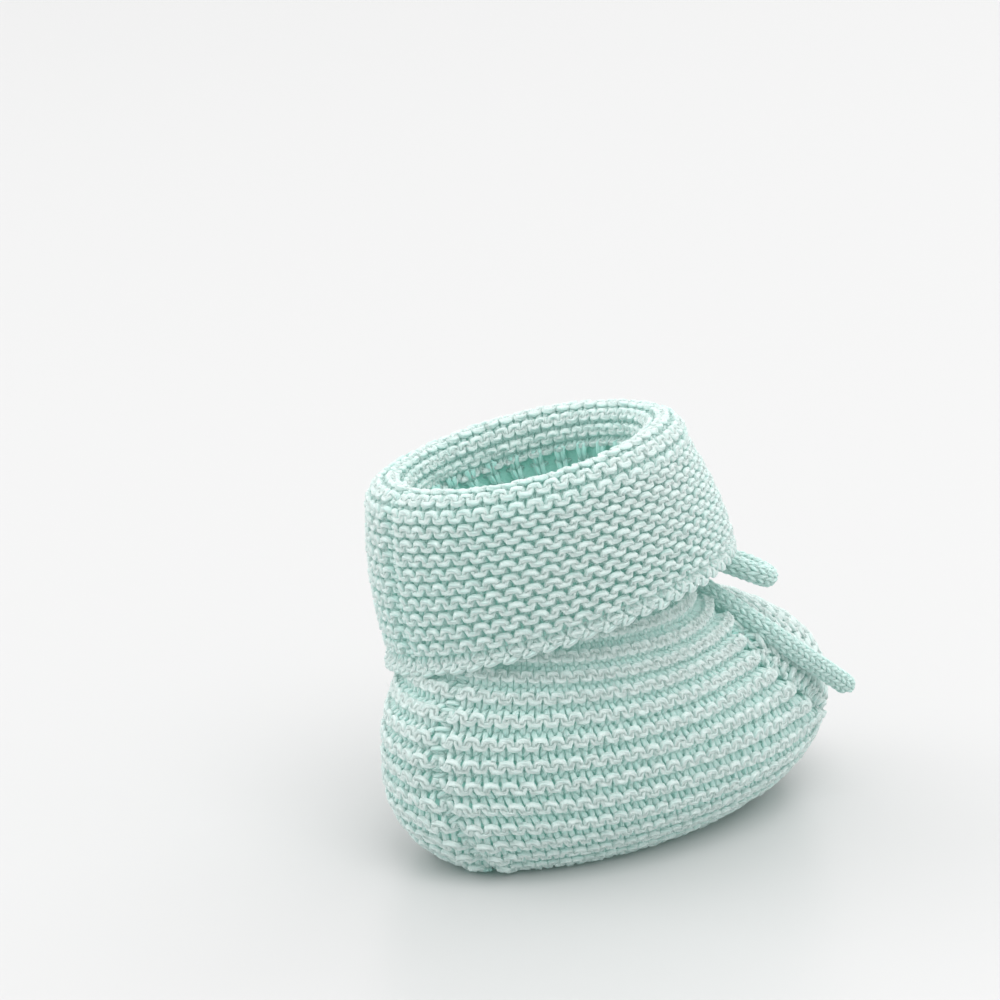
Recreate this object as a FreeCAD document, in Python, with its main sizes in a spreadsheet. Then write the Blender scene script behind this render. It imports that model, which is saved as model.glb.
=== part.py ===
"""Knitted baby bootie with a turned-down cuff and a tied ankle cord, in millimetres.

+Y points to the toe, +X to the wearer's right, +Z up. The origin is on the floor, at the middle
of the bootie's length and width. Every knitted piece is a plain closed solid of the true outer
shape, with the real hollow for the foot and the real opening at the ankle.
"""
import FreeCAD, Part
import Sketcher
import math
import os

from FreeCAD import Vector, Rotation, Placement

doc = FreeCAD.newDocument("BabyBootie")
sheet = doc.addObject("Spreadsheet::Sheet", "Sizes")

# ---------------------------------------------------------------- driving sizes
SIZES = [
    ("foot_length", 106, "heel to toe, at the widest level"),
    ("foot_width", 60, "across the ball of the foot"),
    ("wall", 3.4, "thickness of the knitted wall"),
    ("sole_thickness", 4, "thickness of the sole"),
    ("seam_width", 2.2, "width of every sewn seam"),
    ("heel_seam_shift", 6, "how far the heel seam sits right of the centre line"),
    # levels of the foot: height, then how far each end and side stands in from the full size
    ("ground_z", 0, "underside of the sole"),
    ("ground_heel", 11, ""),
    ("ground_toe", 9, ""),
    ("ground_side", 8.5, ""),
    ("hem_z", 4, "where the sole turns up into the wall"),
    ("hem_heel", 4.5, ""),
    ("hem_toe", 3.5, ""),
    ("hem_side", 3.5, ""),
    ("lower_z", 10, "lower part of the wall"),
    ("lower_heel", 1.5, ""),
    ("lower_toe", 0.5, ""),
    ("lower_side", 0.8, ""),
    ("belly_z", 20, "fullest level of the wall"),
    ("belly_heel", 0, ""),
    ("belly_toe", 0, ""),
    ("belly_side", 0, ""),
    ("upper_z", 30, "upper part of the wall"),
    ("upper_heel", 1.2, ""),
    ("upper_toe", 7.5, ""),
    ("upper_side", 1.5, ""),
    ("instep_z", 37, "over the instep"),
    ("instep_heel", 6, ""),
    ("instep_toe", 21.5, ""),
    ("instep_side", 4.8, ""),
    ("ankle_z", 44, "at the bend of the ankle"),
    ("ankle_heel", 10.5, ""),
    ("ankle_front", 5.2, "how far the foot reaches in front of the ankle band"),
    ("ankle_side", 7.3, ""),
    ("top_z", 49, "where the ankle band starts"),
    ("top_heel", 11.5, ""),
    ("top_front", 0.8, ""),
    ("top_side", 8, ""),
    # line in side view along which the side walls end and the instep panel starts
    ("panel_top_ahead", 5, "where the panel meets the ankle, in front of the ankle band"),
    ("panel_top_z", 37, ""),
    ("panel_low_back", 17, "where the line flattens, behind the toe"),
    ("panel_low_z", 16.5, ""),
    ("panel_toe_ahead", 9, "past the toe"),
    ("panel_toe_z", 13.5, ""),
    ("panel_roof_z", 62, "above the foot"),
    # ribbed ankle band and leg
    ("band_depth", 47.5, "ankle band, heel to front, outside"),
    ("band_width", 44, "ankle band, side to side, outside"),
    ("band_rise", 15.5, "height of the ankle band"),
    ("band_lean", 3.0, "how far the band's top sits behind its foot"),
    # rolled rim: the fold line of the cuff
    ("rim_radius", 26.5, "middle of the fold, from the leg's axis"),
    ("rim_back", 3.85, "how far the rim's middle lies behind the ankle band's"),
    ("rim_z", 73.8, ""),
    ("rim_rise_right", 0.19, "slope of the rim towards the right"),
    ("rim_rise_front", 0.15, "slope of the rim towards the toe"),
    ("fold_radius", 5, "outside radius of the rolled fold"),
    ("fold_gap_radius", 1.5, "half the gap between leg and cuff at the fold"),
    # free lower edge of the cuff
    ("edge_width", 66, "cuff's lower edge, side to side"),
    ("edge_depth", 69, "cuff's lower edge, back to front"),
    ("edge_ahead", 4.25, "how far the lower edge's middle lies in front of the ankle band's"),
    ("edge_z", 46, ""),
    ("edge_rise_right", 0.3, "slope of the lower edge towards the right"),
    ("edge_rise_front", 0.18, "slope of the lower edge towards the toe"),
    ("edge_band", 2.2, "height of the cast-off edge"),
    ("cuff_seam_turn", 12, "degrees that the cuff's back seam is twisted to the left"),
    # knitted tie
    ("cord_diameter", 4.2, "knitted tie cord"),
    ("cord_sink", 0.6, "how far the ankle cord's middle lies inside the band's face"),
    ("cord_height", 2.4, "middle of the ankle cord above the foot of the band"),
    ("knot_radius", 5.5, "the bow's knot"),
    ("knot_x", 2.5, "the knot sits a little right of the centre line"),
    ("knot_bite", 1.0, "how deep the knot sits on the ankle cord"),
    ("knot_drop", -0.2, "knot's middle below the ankle cord's"),
    ("knot_clearance", 0.3, "play between the knot and the cords that leave it"),
    ("tail_play", 0.8, "play between the knot and the end that lifts"),
]

for row, (alias, value, note) in enumerate(SIZES, start=1):
    sheet.set(f"A{row}", note or alias)
    sheet.set(f"B{row}", str(value))
    sheet.setAlias(f"B{row}", alias)
doc.recompute()


def size(alias):
    """A driving size, as a number of millimetres."""
    return float(sheet.get(alias))


def cells(expression):
    """Turn $name into the sheet's cell of that name."""
    return expression.replace("$", "Sizes.")


FAR = 80  # reaches past the bootie in every direction

# An ellipse starts at its heel end, so that no surface seam meets the cut at the toe.
LEVEL_TILT = "create(<<rotation>>; create(<<vector>>; 0; 0; 1); -90)"


def tilt(place):
    """Rotation of a level section to the slopes of the rim or of the lower edge."""
    right, front = f"${place}_rise_right", f"${place}_rise_front"
    axis = f"create(<<vector>>; {front}; -{right}; 0)"
    lean = f"atan(sqrt({right} * {right} + {front} * {front}))"
    return f"create(<<rotation>>; {axis}; {lean})"


def place_at(thing, x, y, z, rotation):
    """Bind the whole placement of a thing to the sheet."""
    spot = f"create(<<vector>>; {x}; {y}; {z})"
    thing.setExpression("Placement", cells(f"create(<<placement>>; {spot}; {rotation})"))


def section(name, y, z, half_depth, half_width, rotation=LEVEL_TILT):
    """An ellipse round the leg or foot, its first axis along the foot."""
    ellipse = doc.addObject("Part::Ellipse", name)
    ellipse.setExpression("MajorRadius", cells(half_depth))
    ellipse.setExpression("MinorRadius", cells(half_width))
    place_at(ellipse, "0", y, z, rotation)
    return ellipse


def loft(name, sections):
    """A closed solid through the sections, lowest first."""
    solid = doc.addObject("Part::Loft", name)
    solid.Sections = sections
    solid.Solid = True
    return solid


def cut(name, base, tool):
    result = doc.addObject("Part::Cut", name)
    result.Base, result.Tool = base, tool
    return result


def common(name, base, tool):
    result = doc.addObject("Part::Common", name)
    result.Base, result.Tool = base, tool
    return result


def box(name, length, width, height):
    """A box whose sides are expressions on the sheet; it still needs its place."""
    block = doc.addObject("Part::Box", name)
    block.setExpression("Length", cells(length))
    block.setExpression("Width", cells(width))
    block.setExpression("Height", cells(height))
    return block


# ---------------------------------------------------------------- foot shell
LEVELS = ["ground", "hem", "lower", "belly", "upper", "instep", "ankle", "top"]
BAND_Y = "(-$foot_length / 2 + $top_heel + $band_depth / 2)"
BAND_FRONT_Y = f"({BAND_Y} + $band_depth / 2)"
RIM_Y = f"({BAND_Y} - $rim_back)"
EDGE_Y = f"({BAND_Y} + $edge_ahead)"


def toe_inset(level):
    """How far a level's front stands behind the toe; the two highest follow the ankle band."""
    if level in ("ankle", "top"):
        return f"($foot_length / 2 - {BAND_FRONT_Y} - ${level}_front)"
    return f"${level}_toe"


def foot_section(name, level, z, in_heel="0", in_toe="0", in_side="0"):
    """The foot's outline at a level, drawn in by the given amounts."""
    heel = f"(${level}_heel + {in_heel})"
    toe = f"({toe_inset(level)} + {in_toe})"
    half_depth = f"($foot_length - {heel} - {toe}) / 2"
    half_width = f"$foot_width / 2 - ${level}_side - {in_side}"
    return section(name, f"({heel} - {toe}) / 2", z, half_depth, half_width)


foot_block = loft("FootBlock", [foot_section(f"Foot_{level}", level, f"${level}_z") for level in LEVELS])

BAND_TOP_Y = f"({BAND_Y} - $band_lean)"
BAND_TOP_Z = "($top_z + $band_rise)"

# The hollow follows the outside; over the sloping instep the roof's thickness is a drop in height.
cavity = loft("FootHollow", [
    foot_section("Hollow_floor", "hem", "$sole_thickness", "$wall + 1", "$wall + 1", "$wall + 1"),
    foot_section("Hollow_lower", "lower", "$lower_z", "$wall", "$wall", "$wall"),
    foot_section("Hollow_belly", "belly", "$belly_z - 1", "$wall", "$wall", "$wall"),
    foot_section("Hollow_upper", "upper", "$upper_z - $wall * 0.7", "$wall", "$wall * 0.9", "$wall"),
    foot_section("Hollow_instep", "instep", "$instep_z - $wall", "$wall", "$wall * 0.7", "$wall"),
    foot_section("Hollow_ankle", "ankle", "$ankle_z - $wall", "$wall", "$wall * 0.9", "$wall"),
    foot_section("Hollow_top", "top", "$top_z - $wall * 0.9", "$wall", "$wall", "$wall"),
])
ankle_hole = loft("AnkleHole", [
    section("AnkleHole_low", BAND_Y, "$ankle_z", "$band_depth / 2 - $wall", "$band_width / 2 - $wall"),
    section("AnkleHole_high", BAND_Y, "$top_z + 1", "$band_depth / 2 - $wall", "$band_width / 2 - $wall"),
])
foot_shell = cut("FootShell", cut("FootHollowed", foot_block, cavity), ankle_hole)

# ---------------------------------------------------------------- cutting tools for the foot's pieces


PANEL_TOP_Y = f"({BAND_FRONT_Y} + $panel_top_ahead)"
PANEL_LOW_Y = "($foot_length / 2 - $panel_low_back)"
PANEL_TOE_Y = "($foot_length / 2 + $panel_toe_ahead)"


def side_profile(name, drop):
    """Prism across the foot over the instep panel, its lower outline let down by drop."""
    corners = [
        (PANEL_TOP_Y + " - {d}", "$panel_top_z - {d} * 0.5"),
        (PANEL_TOP_Y + " - {d}", "$panel_roof_z + {d}"),
        (PANEL_TOE_Y + " + {d}", "$panel_roof_z + {d}"),
        (PANEL_TOE_Y + " + {d}", "$panel_toe_z - {d}"),
        (PANEL_LOW_Y + " - {d} * 0.6", "$panel_low_z - {d}"),
    ]
    corners = [(y.format(d=drop), z.format(d=drop)) for y, z in corners]
    start = [(11.0, 37.0), (11.0, 62.0), (62.0, 62.0), (62.0, 13.5), (36.0, 16.5)]
    sketch = doc.addObject("Sketcher::SketchObject", name + "_outline")
    sketch.Placement = Placement(Vector(-FAR, 0, 0), Rotation(Vector(1, 1, 1), 120))
    count = len(start)
    for index, (y, z) in enumerate(start):
        next_y, next_z = start[(index + 1) % count]
        sketch.addGeometry(Part.LineSegment(Vector(y, z, 0), Vector(next_y, next_z, 0)), False)
    for index in range(count):
        sketch.addConstraint(Sketcher.Constraint("Coincident", index, 2, (index + 1) % count, 1))
    for index, (y, z) in enumerate(corners):
        along = sketch.addConstraint(Sketcher.Constraint("DistanceX", -1, 1, index, 1, start[index][0]))
        up = sketch.addConstraint(Sketcher.Constraint("DistanceY", -1, 1, index, 1, start[index][1]))
        sketch.setExpression(f"Constraints[{along}]", cells(y))
        sketch.setExpression(f"Constraints[{up}]", cells(z))
    prism = doc.addObject("Part::Extrusion", name)
    prism.Base = sketch
    prism.DirMode = "Custom"
    prism.Dir = Vector(1, 0, 0)
    prism.LengthFwd = 2 * FAR
    prism.Solid = True
    return prism


panel_zone = side_profile("PanelZone", "0")
panel_seam_zone = side_profile("PanelSeamZone", "$seam_width")

sole_zone = box("SoleZone", f"{2 * FAR}", f"{2 * FAR}", "$sole_thickness")
place_at(sole_zone, f"{-FAR}", f"{-FAR}", "0", "create(<<rotation>>; create(<<vector>>; 0; 0; 1); 0)")

# The sole seam runs from the toe's centre to the heel seam, a little off the centre line.
SEAM_TURN = "create(<<rotation>>; create(<<vector>>; 0; 0; 1); atan($heel_seam_shift / $foot_length))"


def seam_frame_box(name, x_low, length, y_low, width, z_low, height):
    """A box whose place is given in the seam's own frame, with its origin at the toe's tip."""
    block = box(name, length, width, height)
    turn = "atan($heel_seam_shift / $foot_length)"
    x = f"cos({turn}) * ({x_low}) - sin({turn}) * ({y_low})"
    y = f"$foot_length / 2 + sin({turn}) * ({x_low}) + cos({turn}) * ({y_low})"
    place_at(block, x, y, z_low, SEAM_TURN)
    return block


BEHIND = "-$foot_length * 1.2"
right_zone = seam_frame_box("RightZone", "0", f"{FAR}", BEHIND, "$foot_length * 1.5", "-1", f"{FAR}")
left_zone = seam_frame_box("LeftZone", f"{-FAR}", f"{FAR}", BEHIND, "$foot_length * 1.5", "-1", f"{FAR}")
sole_seam_zone = seam_frame_box("SoleSeamZone", "-$seam_width / 2", "$seam_width",
                                BEHIND, "$foot_length * 1.5", "-1", f"{FAR}")
heel_seam_zone = seam_frame_box("HeelSeamZone", "-$seam_width / 2", "$seam_width",
                                BEHIND, "$foot_length * 0.6", "-1", f"{FAR}")

parts = {}


def piece(name, thing):
    """Give a finished sub-part the name that its file takes."""
    thing.Label = name
    parts[name] = thing
    return thing


# ---------------------------------------------------------------- sole
sole_plate = common("SolePlate", foot_shell, sole_zone)
sole_panels = cut("SolePanels", sole_plate, sole_seam_zone)
piece("sole_right", common("SoleRight", sole_panels, right_zone))
piece("sole_left", common("SoleLeft", sole_panels, left_zone))
piece("sole_seam", common("SoleSeam", sole_plate, sole_seam_zone))

# ---------------------------------------------------------------- side walls, heel seam, instep
foot_upper = cut("FootUpper", foot_shell, sole_zone)
foot_wall = cut("FootWall", foot_upper, panel_seam_zone)
wall_panels = cut("WallPanels", foot_wall, heel_seam_zone)
piece("side_wall_right", common("SideWallRight", wall_panels, right_zone))
piece("side_wall_left", common("SideWallLeft", wall_panels, left_zone))
piece("heel_seam", common("HeelSeam", foot_wall, heel_seam_zone))
piece("instep_panel", common("InstepPanel", foot_upper, panel_zone))
panel_border = cut("PanelBorder", common("PanelAndSeam", foot_upper, panel_seam_zone), panel_zone)
piece("instep_seam", panel_border)


# ---------------------------------------------------------------- ankle band, leg, fold and cuff
def ring_wall(name, low, high, thickness):
    """A tube between two sections, given as (y, z, half depth, half width, rotation), less its bore."""
    outer, inner = [], []
    for tag, (y, z, depth, width, rotation) in (("Low", low), ("High", high)):
        outer.append(section(f"{name}Outer{tag}", y, z, depth, width, rotation))
        inner.append(section(f"{name}Bore{tag}", y, z, f"{depth} - {thickness}",
                             f"{width} - {thickness}", rotation))
    return cut(name, loft(name + "Outer", outer), loft(name + "Bore", inner))


RIM_TILT = f"{tilt('rim')} * {LEVEL_TILT}"
EDGE_TILT = f"{tilt('edge')} * {LEVEL_TILT}"
KNIT = "($fold_radius - $fold_gap_radius)"

band_low = (BAND_Y, "$top_z", "$band_depth / 2", "$band_width / 2", LEVEL_TILT)
band_high = (BAND_TOP_Y, BAND_TOP_Z, "$band_depth / 2", "$band_width / 2", LEVEL_TILT)
band = ring_wall("AnkleBand", band_low, band_high, "$wall")

LEG_RADIUS = "($rim_radius - $fold_gap_radius)"
leg_high = (RIM_Y, "$rim_z", LEG_RADIUS, LEG_RADIUS, RIM_TILT)
leg = ring_wall("Leg", band_high, leg_high, KNIT)

cuff_high = (RIM_Y, "$rim_z", "($rim_radius + $fold_radius)", "($rim_radius + $fold_radius)", RIM_TILT)
cuff_low = (EDGE_Y, "$edge_z + $edge_band", "$edge_depth / 2", "$edge_width / 2", EDGE_TILT)
cuff = ring_wall("Cuff", cuff_low, cuff_high, KNIT)

edge_low = (EDGE_Y, "$edge_z", "$edge_depth / 2", "$edge_width / 2", EDGE_TILT)
piece("cuff_edge", ring_wall("CuffEdge", edge_low, cuff_low, KNIT))

fold_outer = doc.addObject("Part::Torus", "FoldOuter")
fold_outer.setExpression("Radius1", cells("$rim_radius"))
fold_outer.setExpression("Radius2", cells("$fold_radius"))
fold_hollow = doc.addObject("Part::Torus", "FoldHollow")
fold_hollow.setExpression("Radius1", cells("$rim_radius"))
fold_hollow.setExpression("Radius2", cells("$fold_gap_radius"))
above_rim = doc.addObject("Part::Cylinder", "AboveRim")
above_rim.Radius = FAR
above_rim.Height = FAR
for thing in (fold_outer, fold_hollow, above_rim):
    place_at(thing, "0", RIM_Y, "$rim_z", RIM_TILT)
piece("cuff_fold", common("CuffFold", cut("FoldShell", fold_outer, fold_hollow), above_rim))

# The back seam of leg and cuff is one vertical slab, twisted a little to the left.
back_seam_zone = box("BackSeamZone", "$seam_width", f"{FAR}", f"{2 * FAR}")
turn = "$cuff_seam_turn"
place_at(back_seam_zone,
         f"-cos({turn}) * $seam_width / 2 - sin({turn}) * {FAR}",
         f"{RIM_Y} + sin({turn}) * $seam_width / 2 - cos({turn}) * {FAR}", "0",
         f"create(<<rotation>>; create(<<vector>>; 0; 0; 1); -{turn})")
piece("leg_lining", cut("LegLining", leg, back_seam_zone))
piece("leg_seam", common("LegSeam", leg, back_seam_zone))
piece("cuff", cut("CuffPanel", cuff, back_seam_zone))
piece("cuff_seam", common("CuffSeam", cuff, back_seam_zone))

# ---------------------------------------------------------------- tie: ankle cord and knot
CORD_Y = f"({BAND_Y} - $band_lean * $cord_height / $band_rise)"
CORD_Z = "($top_z + $cord_height)"
KNOT_Y = f"({CORD_Y} + $band_depth / 2 - $cord_sink + $cord_diameter / 2 + $knot_radius - $knot_bite)"


def knot_ball(name, radius):
    ball = doc.addObject("Part::Sphere", name)
    ball.setExpression("Radius", cells(radius))
    place_at(ball, "$knot_x", KNOT_Y, f"{CORD_Z} - $knot_drop", LEVEL_TILT)
    return ball


knot = piece("tie_knot", knot_ball("Knot", "$knot_radius"))
knot_room = knot_ball("KnotRoom", "$knot_radius + $knot_clearance")
tail_room = knot_ball("TailRoom", "$knot_radius + $tail_play")

ankle_line = section("AnkleCordLine", CORD_Y, CORD_Z,
                     "$band_depth / 2 - $cord_sink", "$band_width / 2 - $cord_sink")
ankle_round = doc.addObject("Part::Circle", "AnkleCordSection")
ankle_round.setExpression("Radius", cells("$cord_diameter / 2"))
place_at(ankle_round, "0", f"{CORD_Y} - $band_depth / 2 + $cord_sink", CORD_Z,
         "create(<<rotation>>; create(<<vector>>; 0; 1; 0); 90)")
ankle_sweep = doc.addObject("Part::Sweep", "AnkleCordSweep")
ankle_sweep.Sections = [ankle_round]
ankle_sweep.Spine = (ankle_line, ["Edge1"])
ankle_sweep.Solid = True
piece("ankle_band", cut("AnkleBandGrooved", band, ankle_sweep))
piece("tie_ankle_cord", cut("TieAnkleCord", ankle_sweep, knot))

# ---------------------------------------------------------------- tie: loops and tails
doc.recompute()
KNOT = knot.Placement.Base

# Routes run outwards from the knot, measured from its middle.
TAIL_RIGHT = [(3.2, 0.2, -3.0), (6.8, 0.8, -5.6), (13.4, 3.3, -9.0), (20.6, 7.0, -13.6),
              (23.1, 13.4, -19.0), (23.9, 20.0, -23.8), (24.6, 26.1, -28.4)]
TAIL_LEFT = [(-3.3, -1.0, -1.6), (-8.0, -1.0, -3.8), (-16.8, 2.4, -7.6), (-25.4, 7.4, -13.6),
             (-28.4, 13.6, -19.6), (-29.4, 19.8, -24.8), (-28.8, 26.0, -29.2)]
# A loop goes out along its axis and back: out along the axis, across it, and its droop.
LOOP_RIGHT = [(3.2, 2.3, 0), (7.5, 2.9, 0), (13.5, 4.6, 0.8), (21.5, 4.6, 3.6)]
LOOP_LEFT = [(3.2, 2.3, 0), (7.5, 2.9, 0.8), (13.5, 4.6, 1.6), (21.5, 4.6, 3.0)]
# Bearing of the axis from straight right, its slope, and how far its right side is tipped up.
LOOP_RIGHT_LIE = (38, -2, 0.35)
LOOP_LEFT_LIE = (112, -20, -0.1)


def tail_points(route):
    return [KNOT + Vector(*point) for point in route]


def loop_points(half, lie):
    bearing, slope = math.radians(lie[0]), math.radians(lie[1])
    flat = math.cos(slope)
    axis = Vector(math.cos(bearing) * flat, math.sin(bearing) * flat, math.sin(slope))
    across = Vector(math.sin(bearing), -math.cos(bearing), lie[2])
    if lie[0] > 90:
        across = Vector(-math.sin(bearing), math.cos(bearing), lie[2])
    across = (across - axis * across.dot(axis)).normalize()
    there = [KNOT + axis * out + across * side - Vector(0, 0, droop) for out, side, droop in half]
    back = [KNOT + axis * out - across * side - Vector(0, 0, droop) for out, side, droop in half]
    return there + back[::-1]


def cord_route(name, points):
    """Straight runs joined by tangent arcs, each arc as large as its two runs allow."""
    edges, radii = [], []
    start = points[0]
    for before, corner, after in zip(points, points[1:], points[2:]):
        inward, outward = corner - before, after - corner
        half_turn = inward.getAngle(outward) / 2
        reach = 0.45 * min(inward.Length, outward.Length)
        radii.append(reach / math.tan(half_turn))
        first = corner - Vector(inward).normalize() * reach
        last = corner + Vector(outward).normalize() * reach
        towards_middle = (Vector(outward).normalize() - Vector(inward).normalize()).normalize()
        middle = corner + towards_middle * (radii[-1] / math.cos(half_turn) - radii[-1])
        edges += [Part.LineSegment(start, first).toShape(), Part.Arc(first, middle, last).toShape()]
        start = last
    edges.append(Part.LineSegment(start, points[-1]).toShape())
    path = doc.addObject("Part::Feature", name + "_Path")
    path.Shape = Part.Wire(edges)
    listed = ", ".join(f"{radius:.1f}" for radius in radii)
    print(f"{name}: length {path.Shape.Length:.1f} mm, bend radii {listed} mm")
    return path


def cord_piece(name, points, room=None):
    """A round cord along its route, ended just clear of the knot."""
    path = cord_route(name, points)
    ring = doc.addObject("Part::Circle", name + "_Section")
    ring.setExpression("Radius", cells("$cord_diameter / 2"))
    ring.Placement = Placement(points[0], Rotation(Vector(0, 0, 1), points[1] - points[0]))
    tube = doc.addObject("Part::Sweep", name + "_Tube")
    tube.Sections = [ring]
    tube.Spine = (path, [f"Edge{index + 1}" for index in range(len(path.Shape.Edges))])
    tube.Solid = True
    doc.recompute()
    expected = math.pi * (size("cord_diameter") / 2) ** 2 * path.Shape.Length
    print(f"{name}: volume {tube.Shape.Volume:.0f} mm3, section times length {expected:.0f} mm3")
    piece(name, cut(name + "_Cord", tube, room or knot_room))


cord_piece("tie_tail_right", tail_points(TAIL_RIGHT), tail_room)
cord_piece("tie_tail_left", tail_points(TAIL_LEFT))
cord_piece("tie_loop_right", loop_points(LOOP_RIGHT, LOOP_RIGHT_LIE))
cord_piece("tie_loop_left", loop_points(LOOP_LEFT, LOOP_LEFT_LIE))

# ---------------------------------------------------------------- check and write
doc.recompute()
for thing in doc.Objects:
    if "Invalid" in thing.State or "Error" in thing.State:
        raise RuntimeError(f"{thing.Label} did not build: {thing.State}")
for name, thing in parts.items():
    shape = thing.Shape
    if shape.isNull() or not shape.isValid() or not shape.Solids:
        raise RuntimeError(f"{name} is not a valid solid")

os.makedirs("parts", exist_ok=True)
for name, thing in parts.items():
    thing.Shape.exportStep(f"parts/{name}.step")
    extent = thing.Shape.BoundBox
    print(f"{name}: {len(thing.Shape.Solids)} solid(s), {thing.Shape.Volume:.0f} mm3, "
          f"x {extent.XMin:.1f}..{extent.XMax:.1f} y {extent.YMin:.1f}..{extent.YMax:.1f} "
          f"z {extent.ZMin:.1f}..{extent.ZMax:.1f}")
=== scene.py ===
"""A knitted baby bootie: every row of yarn is a tube of mesh that follows the loops of the stitches."""

import math

import bpy
import numpy as np
from mathutils import Matrix, Vector


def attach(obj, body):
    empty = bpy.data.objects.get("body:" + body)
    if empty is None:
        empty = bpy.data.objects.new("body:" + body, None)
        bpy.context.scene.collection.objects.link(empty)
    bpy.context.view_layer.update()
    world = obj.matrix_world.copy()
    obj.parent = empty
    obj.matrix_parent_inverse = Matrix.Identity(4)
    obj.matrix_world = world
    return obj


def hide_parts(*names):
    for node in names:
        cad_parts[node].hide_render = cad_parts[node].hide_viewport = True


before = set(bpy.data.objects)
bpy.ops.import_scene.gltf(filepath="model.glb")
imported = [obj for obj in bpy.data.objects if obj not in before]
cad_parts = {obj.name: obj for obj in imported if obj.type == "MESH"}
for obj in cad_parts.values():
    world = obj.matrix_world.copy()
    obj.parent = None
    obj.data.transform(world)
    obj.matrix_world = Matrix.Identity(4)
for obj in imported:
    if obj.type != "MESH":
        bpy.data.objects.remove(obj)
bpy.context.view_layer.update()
MM = 0.001
TAU = 2 * np.pi
rng = np.random.default_rng(11)

# ------------------------------------------------------------------ camera
# The camera's bearing and rise, its distance and target in mm, and its lens and sensor.
BEARING, RISE, AWAY = math.radians(45), math.radians(18.5), 760.0
AIM = np.array([0.0, 0.0, 38.0])
LENS, SENSOR, FRAME = 142.0, 36.0, 1000.0
# How far the target stands right of the frame's middle and below it, in thousandths of the frame.
AIM_RIGHT, AIM_BELOW = 117, 124


def place_camera():
    """The camera stands AWAY mm from AIM, and is turned so that AIM lies off the frame's middle."""
    level = math.cos(RISE)
    towards = np.array([math.sin(BEARING) * level, -math.cos(BEARING) * level, math.sin(RISE)])
    right = np.array([math.cos(BEARING), math.sin(BEARING), 0.0])
    up = np.cross(towards, right)
    spot = AIM + towards * AWAY
    scale = AWAY * SENSOR / (LENS * FRAME)
    middle = AIM - right * AIM_RIGHT * scale + up * AIM_BELOW * scale
    back = (spot - middle) / np.linalg.norm(spot - middle)
    side = np.cross([0, 0, 1.0], back)
    side /= np.linalg.norm(side)
    turn = np.stack([side, np.cross(back, side), back], axis=1)
    data = bpy.data.cameras.new("camera")
    data.lens, data.sensor_width = LENS, SENSOR
    data.clip_start, data.clip_end = 0.05, 20
    camera = bpy.data.objects.new("camera", data)
    matrix = Matrix(turn.tolist()).to_4x4()
    matrix.translation = Vector((spot * MM).tolist())
    camera.matrix_world = matrix
    bpy.context.scene.collection.objects.link(camera)
    bpy.context.scene.camera = camera


place_camera()


# ------------------------------------------------------------------ materials
class Socket:
    """An output or a number that adds its own Math nodes when it is used in a sum."""

    def __init__(self, shade, out):
        self.shade, self.out = shade, out

    def math(self, kind, *others):
        inputs = dict(enumerate((self,) + others))
        return self.shade.node("ShaderNodeMath", {"operation": kind}, inputs)

    def __add__(self, other):
        return self.math("ADD", other)

    __radd__ = __add__

    def __mul__(self, other):
        return self.math("MULTIPLY", other)

    __rmul__ = __mul__

    def __sub__(self, other):
        return self.math("SUBTRACT", other)

    def sin(self):
        return self.math("SINE")

    def clamp(self):
        return self.shade.node("ShaderNodeClamp", {}, {"Value": self})


class Shade:
    """A material's node tree; node() makes any node from its type, its settings and its sockets."""

    def __init__(self, name):
        self.material = bpy.data.materials.new(name)
        self.material.use_nodes = True
        self.tree = self.material.node_tree
        self.surface = self.tree.nodes["Principled BSDF"]

    def put(self, socket, value):
        if isinstance(value, Socket):
            self.tree.links.new(value.out, socket)
        elif hasattr(value, "__len__") and len(value) == 3 and socket.type == "RGBA":
            socket.default_value = (*value, 1.0)
        else:
            socket.default_value = value

    def node(self, kind, settings, sockets, out=0):
        made = self.tree.nodes.new(kind)
        for key, value in settings.items():
            setattr(made, key, value)
        for key, value in sockets.items():
            self.put(made.inputs[key], value)
        return Socket(self, made.outputs[out])

    def mix(self, factor, first, second):
        inputs = {0: factor, 6: first, 7: second}
        return self.node("ShaderNodeMix", {"data_type": "RGBA"}, inputs, out=2)

    def noise(self, where, scale, roughness):
        settings = {"Vector": where, "Scale": scale, "Detail": 3.0, "Roughness": roughness}
        return self.node("ShaderNodeTexNoise", {}, settings)

    def constants(self, values):
        """Numbers and colours that are the same all over the surface."""
        for key, value in values.items():
            self.put(self.surface.inputs[key], value)


# Grains of the yarn's noise to a metre: loose lint, and slow changes in how tight the yarn lies.
LINT_GRAIN, TIGHTNESS_GRAIN = 3800.0, 300.0
# Plies to one length of the yarn's map, and plies round it.
PLY_LEAN, PLIES = 0.7, 3.0
# How much the depth (painted shade in the hollows), the tightness, the lint and the plies (painted
# shade in their grooves) darken the yarn, and its whole shift.
DEPTH_SHADE, TIGHTNESS_TONE, LINT_TONE, PLY_SHADE = 0.9, 0.30, 0.24, 0.09
BRIGHTER_TIGHTNESS, BRIGHTER_LINT = 0.17, 0.12
WOOL = {
    "Roughness": 0.95, "Specular IOR Level": 0.12,
    "Sheen Weight": 0.25, "Sheen Roughness": 0.6, "Sheen Tint": (0.93, 1.0, 0.98),
    # A faint glow in the yarn's colour: painted light that stands in for light coming through the loose
    # fibres from behind, and keeps the gaps between loops pale.
    "Emission Color": (0.29, 0.60, 0.53), "Emission Strength": 0.12,
    "Subsurface Weight": 0.8, "Subsurface Radius": (0.9, 1.0, 1.0), "Subsurface Scale": 0.0015}


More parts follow.
